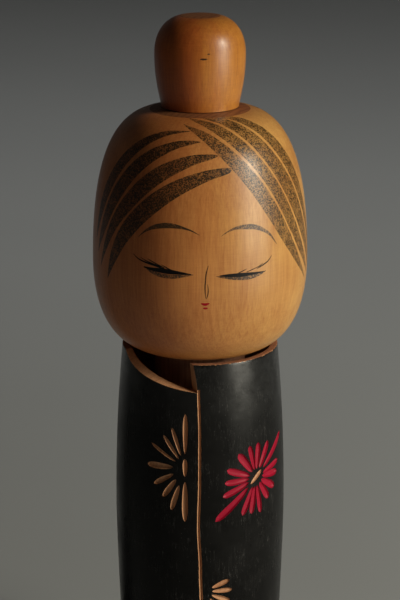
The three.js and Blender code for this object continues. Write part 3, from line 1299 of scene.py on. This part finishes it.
def stippled(name, colour, cover, stain_depth):
    """Brown dabbed over the head's own wood, which shows between the dots."""
    material, tree, shader = surface(name)
    grain = group_node(tree, wood_figure, HEAD_GRAIN)
    dots = group_node(tree, stipple, {"Cover": cover})["Mask"]
    stain = blend_colours(tree, stain_depth, grain["Color"], colour)
    mixed = blend_colours(tree, dots, stain, colour)
    rough = calc(tree, "MULTIPLY_ADD", dots, 0.04, grain["Roughness"])
    lay_on(tree, shader, mixed, rough, dots, 0.25, DAB_DEPTH)
    return material


# painted shade and light: the darker, denser stipple stands for shade on the left strokes, away
# from the window light, and the lighter stipple for light on the right strokes; the back hair
# takes the darker one
dense_shaded_hair = stippled("dense_shaded_hair_stipple", (0.028, 0.014, 0.005, 1), 0.72, 0.5)
lit_side_hair = stippled("lit_side_hair_stipple", (0.045, 0.022, 0.006, 1), 0.60, 0.34)
brow_paint = stippled("brushed_brow_paint", (0.050, 0.025, 0.010, 1), 0.95, 0.6)
dry_brow_paint = stippled("dry_brow_paint", (0.070, 0.035, 0.013, 1), 0.75, 0.5)


# %% [markdown]
# ## The hair's strokes
# Each stroke of the fringe starts as a point near the parting, swells, and runs out
# again beside the cheek, so it is listed as places, distances down from the crown and
# widths. The hair at the back hangs straight, and a loop spaces its strokes round the
# head.

# %% Hair strokes
HAIR_LIFT = 0.035 * MM
HAIR_ACROSS = 10
HAIR_PER_STEP = 12
CROWN_EDGE = 0.1 * MM


def hair_stroke(name, steps, finish):
    """A stroke through steps of (azimuth in degrees, mm down the skin, mm wide)."""
    places = [(azimuth, max(down * MM, CROWN_EDGE)) for azimuth, down, _ in steps]
    widths = [width * MM for _, _, width in steps]
    rows = stroke_rows(places, widths, HAIR_ACROSS, HAIR_PER_STEP)
    rows = [[(azimuth, max(down, CROWN_EDGE)) for azimuth, down in row] for row in rows]
    return paint_film(name, rows, HAIR_LIFT, finish)


FRINGE = {
    "fringe_left_1": [
        (-8, 8.4, 0.2), (-25, 9.8, 2.2), (-39, 14, 3.5), (-49.5, 20, 4.5),
        (-58, 28, 4.9), (-64, 36.5, 4.5), (-68.5, 45.5, 2.9), (-72, 54, 0.2),
    ],
    "fringe_left_2": [
        (0.5, 12.9, 0.2), (-6, 13.2, 1.6), (-17, 14.6, 3.1), (-30.5, 18.7, 4.7),
        (-41.5, 24.8, 5.5), (-50.5, 32.7, 5.6), (-57.5, 41, 4.9), (-63.5, 50, 3.3),
        (-68.5, 58.5, 0.2),
    ],
    "fringe_left_3": [
        (11.3, 18.3, 0.3), (7, 18.6, 1.8), (-5.5, 20, 3.8), (-20.5, 24.2, 5.6),
        (-32.5, 30, 6.1), (-43, 37.5, 5.7), (-52, 45.7, 4.4), (-59, 54.5, 2.7),
        (-65, 63.5, 0.2),
    ],
    "fringe_left_4": [
        (18.8, 23.8, 0.5), (16, 23.9, 2.2), (3, 25.6, 3.9), (-12, 29.7, 5.5),
        (-24.5, 35.2, 6.4), (-35.8, 42.3, 6.4), (-45, 50, 5.7), (-52, 58.5, 3.8),
        (-57.3, 67, 0.2),
    ],
    "fringe_right_1": [
        (-14.3, 4.9, 0.2), (4, 10.8, 3.6), (19, 19.1, 5.2), (31, 28.5, 5.9),
        (41.5, 39.2, 5.9), (51, 49.6, 5.1), (62, 60, 3.2), (74.5, 69.5, 0.2),
    ],
    "fringe_right_2": [
        (-11, 0.5, 0.6), (9.4, 5.7, 3.8), (26, 14, 4.8), (38.5, 24, 4.8),
        (49, 35.2, 4.9), (58, 46.5, 4.8), (68.5, 58, 3.5), (80, 68.5, 0.2),
    ],
    "fringe_right_3": [
        (3.5, -0.4, 0.8), (23, 3.6, 4.2), (38, 11.9, 5.4), (49, 22, 6.1),
        (58.5, 33, 6.5), (67, 44.5, 5.9), (75.5, 55.5, 4.1), (84, 67, 0.2),
    ],
    "fringe_right_4": [
        (17, -1.5, 0.3), (35.5, 1.8, 3.0), (50, 9.3, 4.6), (60, 19, 5.6),
        (68, 29.7, 5.5), (74.5, 40.5, 4.2), (80.5, 51.6, 2.2), (86, 62.5, 0.2),
    ],
}

hair = []
for name, steps in FRINGE.items():
    # painted shade: the left strokes take the darker stipple, the lit right strokes the lighter
    # one
    finish = dense_shaded_hair if "left" in name else lit_side_hair
    hair.append(hair_stroke(name, steps, finish))

BACK_STROKES = 10
BACK_ARC = 150
BACK_GAP = 0.8 * MM
BACK_PLACES = 8

for i in range(BACK_STROKES):
    side = (i + 0.5) / BACK_STROKES * 2 - 1
    steps = []
    for k in range(BACK_PLACES):
        share = k / (BACK_PLACES - 1)
        # the middle strokes hang lowest, and every stroke bows outwards
        down = 2 + (66 + 10 * (1 - side**2)) * share
        room = math.radians(BACK_ARC / BACK_STROKES) * skin_radius(down * MM) - BACK_GAP
        swell = min(1, 0.1 + 2.6 * share) * math.sqrt(max(1 - share**3, 0.001))
        azimuth = 180 + side * (BACK_ARC / 2 + 9 * math.sin(math.pi * share))
        steps.append((azimuth, down, room * swell / MM))
    hair.append(hair_stroke(f"back_hair_{i + 1}", steps, dense_shaded_hair))
print("hair strokes:", len(hair))


# %% [markdown]
# ## The face
# Two fine brows, closed eyes with a black lash line over a soft brown shadow, four
# lashes each, a nose of two hairlines and a mouth of two red touches. Every mark is a
# stroke with a place and a width at each step, so they share one recipe: places are
# azimuth in degrees and height in millimetres above the head's seat, and widths and the
# thickness of the paint are in millimetres.

# %% Face strokes
def line_finish(name, colour, gloss=0.42):
    settings = {"Color": colour, "Scratches": 0.0, "Dust": 0.0, "Gloss": gloss}
    return painted(name, settings, 0.05)


lash_black = line_finish("lash_black_paint", (0.004, 0.003, 0.003, 1), 0.36)
line_brown = line_finish("fine_brown_line", (0.07, 0.028, 0.010, 1))
lip_red = line_finish("lip_red_paint", (0.34, 0.001, 0.009, 1))
shadow_brown = stippled("eye_shadow_paint", (0.050, 0.026, 0.011, 1), 0.72, 0.45)


FACE_ACROSS = 6
FACE_PER_STEP = 14


def face_stroke(name, steps, finish, lift):
    """A stroke through steps of (azimuth, height in mm, width in mm)."""
    places = [(azimuth, down_at(height)) for azimuth, height, _ in steps]
    widths = [width * MM for _, _, width in steps]
    rows = stroke_rows(places, widths, FACE_ACROSS, FACE_PER_STEP)
    return paint_film(name, rows, lift * MM, finish)


FACE = [
    (brow_paint, 0.04, {
        "brow_left": [
            (-34, 50.0, 0.1), (-29.5, 52.7, 0.75), (-24, 54.5, 1.6), (-18, 55.3, 1.95),
            (-12.5, 55.2, 1.5), (-8, 54.6, 0.8), (-4, 53.7, 0.42), (-0.2, 52.3, 0.1),
        ],
    }),
    (dry_brow_paint, 0.04, {
        "brow_right": [
            (10.9, 51.7, 0.1), (14.5, 53.2, 0.45), (19.1, 54.3, 1.05), (25.8, 54.4, 1.85),
            (32, 53.5, 1.6), (38.9, 50.7, 0.9), (43.9, 46.4, 0.12),
        ],
    }),
    (shadow_brown, 0.03, {
        "eye_shadow_left": [
            (-28.4, 38.9, 0.3), (-25, 37.9, 1.1), (-21, 37.2, 1.5), (-17, 36.9, 1.5),
            (-13, 37.0, 1.4), (-8.3, 37.5, 1.0), (-5, 37.8, 0.5), (-3.3, 38.0, 0.15),
        ],
        "eye_shadow_right": [
            (8.3, 37.3, 0.15), (12, 36.8, 0.8), (16, 36.4, 1.2), (21, 36.0, 1.4),
            (25, 35.9, 1.5), (29.5, 36.2, 1.3), (33.3, 36.8, 0.8), (36.2, 37.5, 0.15),
        ],
    }),
    (lash_black, 0.055, {
        "eye_left": [
            (-30.2, 39.5, 0.45), (-26, 39.1, 1.1), (-21, 38.9, 1.65), (-16, 38.7, 1.75),
            (-11.5, 38.5, 1.25), (-7.6, 38.3, 0.7), (-4.4, 38.1, 0.18),
        ],
        "eye_right": [
            (10, 37.4, 0.25), (13, 37.4, 0.85), (17, 37.3, 1.3), (21, 37.2, 1.5),
            (25, 37.2, 1.25), (29.5, 37.2, 0.85), (33.3, 37.3, 0.4), (35.8, 37.3, 0.14),
        ],
    }),
    (lash_black, 0.05, {
        "lash_left_1": [
            (-36.8, 43.6, 0.12), (-33.4, 42.1, 0.42), (-28.8, 41.2, 0.58),
            (-23.7, 40.5, 0.62), (-18.5, 39.5, 0.4),
        ],
        "lash_left_2": [
            (-32.2, 42.8, 0.1), (-28.7, 41.8, 0.34), (-25, 41.1, 0.42), (-20.5, 40.2, 0.3),
        ],
        "lash_left_3": [
            (-28, 42.7, 0.1), (-25.5, 41.9, 0.32), (-22, 40.9, 0.38), (-18.5, 39.9, 0.3),
        ],
        "lash_left_4": [
            (-20.4, 41.1, 0.1), (-18.2, 40.4, 0.3), (-15.5, 39.5, 0.4), (-12.5, 38.8, 0.3),
        ],
        "lash_right_1": [
            (40.1, 42.6, 0.12), (37.7, 40.9, 0.38), (34.5, 39.8, 0.44), (30.6, 38.7, 0.18),
        ],
        "lash_right_2": [(34.4, 40.5, 0.1), (32.2, 39.6, 0.3), (29.2, 38.9, 0.15)],
        "lash_right_3": [(31.6, 39.4, 0.1), (28.5, 38.8, 0.3), (24.5, 38.0, 0.25)],
        "lash_right_4": [(24.7, 39.2, 0.1), (22.5, 38.6, 0.32), (19.5, 37.8, 0.3)],
    }),
    (line_brown, 0.04, {
        "nose_long": [
            (4.3, 41.3, 0.15), (3.3, 38.8, 0.38), (2.8, 35.6, 0.42), (2.6, 32.4, 0.40),
            (3.0, 29.2, 0.15),
        ],
        "nose_short": [
            (3.9, 34.5, 0.1), (4.2, 32.4, 0.32), (4.0, 30.5, 0.34), (3.3, 29.0, 0.12),
        ],
    }),
    (lip_red, 0.04, {
        "lip_upper": [
            (0.5, 27.3, 0.25), (1.4, 27.1, 0.75), (2.7, 26.9, 1.0), (3.9, 27.1, 0.75),
            (4.9, 27.3, 0.25),
        ],
        "lip_lower": [
            (1.6, 25.5, 0.25), (2.2, 25.45, 0.62), (2.8, 25.4, 0.68), (3.4, 25.45, 0.62),
            (4.0, 25.5, 0.25),
        ],
    }),
]

face = []
for finish, lift, marks in FACE:
    for name, steps in marks.items():
        face.append(face_stroke(name, steps, finish, lift))
print("face strokes:", len(face))


# %% [markdown]
# ## Putting the doll together
# Every piece rides on the body that carries it: the paint goes with the head, and the
# dowel lifts out between head and trunk. Each turned piece takes the place of its plain
# stand-in from the imported model.

# %% Bodies and stand-ins
for piece, body, node, slot in (
    (trunk, "trunk", "trunk", "black_kimono"),
    (peg, "peg", "neck_peg", "dowel_wood"),
    (head, "head", "head", "head_wood"),
    (topknot, "head", "topknot", "topknot_wood"),
):
    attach(piece, body)
    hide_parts(node)

for stroke in hair + face:
    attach(stroke, "head")


# %% [markdown]
# ## The floor
# A wide pale floor that curves up into a wall all round, so that the camera never looks
# past its edge. It's lit for the view from the front: from behind, the floor by the
# lights is bright and the wall beyond them is dark.

# %% Floor
def floor_finish():
    material, tree, shader = surface("pale_floor", {"Roughness": 0.75})
    where = add_node(tree, "ShaderNodeTexCoord").outputs["Object"]
    patch = noise(tree, where, 3.0, 2.0)
    colour = blend_colours(tree, patch, (0.45, 0.46, 0.47, 1), (0.49, 0.50, 0.51, 1))
    feed(tree, shader, {"Base Color": colour})
    return material


FLOOR_RADIUS = 3.0
BEND_RADIUS = 1.5
WALL_TOP = 4.0
BEND_STEPS = 16
TURN_STEPS = 96


def add_floor():
    """A wide shallow bowl: flat in the middle, bending up into a wall all round."""
    profile = [(FLOOR_RADIUS, 0.0)]
    for i in range(1, BEND_STEPS + 1):
        angle = math.pi / 2 * i / BEND_STEPS
        reach = FLOOR_RADIUS + BEND_RADIUS * math.sin(angle)
        profile.append((reach, BEND_RADIUS * (1 - math.cos(angle))))
    profile.append((FLOOR_RADIUS + BEND_RADIUS, WALL_TOP))
    count = len(profile)
    vertices = [(0, 0, 0)]
    for step in range(TURN_STEPS):
        turn = math.tau * step / TURN_STEPS
        vertices += [(r * math.cos(turn), r * math.sin(turn), z) for r, z in profile]
    faces = []
    for step in range(TURN_STEPS):
        here = 1 + step * count
        there = 1 + (step + 1) % TURN_STEPS * count
        faces.append((0, here, there))
        for i in range(count - 1):
            faces.append((here + i, here + i + 1, there + i + 1, there + i))
    mesh = bpy.data.meshes.new("studio_floor")
    mesh.from_pydata(vertices, [], faces)
    mesh.polygons.foreach_set("use_smooth", [True] * len(mesh.polygons))
    mesh.materials.append(floor_finish())
    return link_object("studio_floor", mesh)


add_floor()
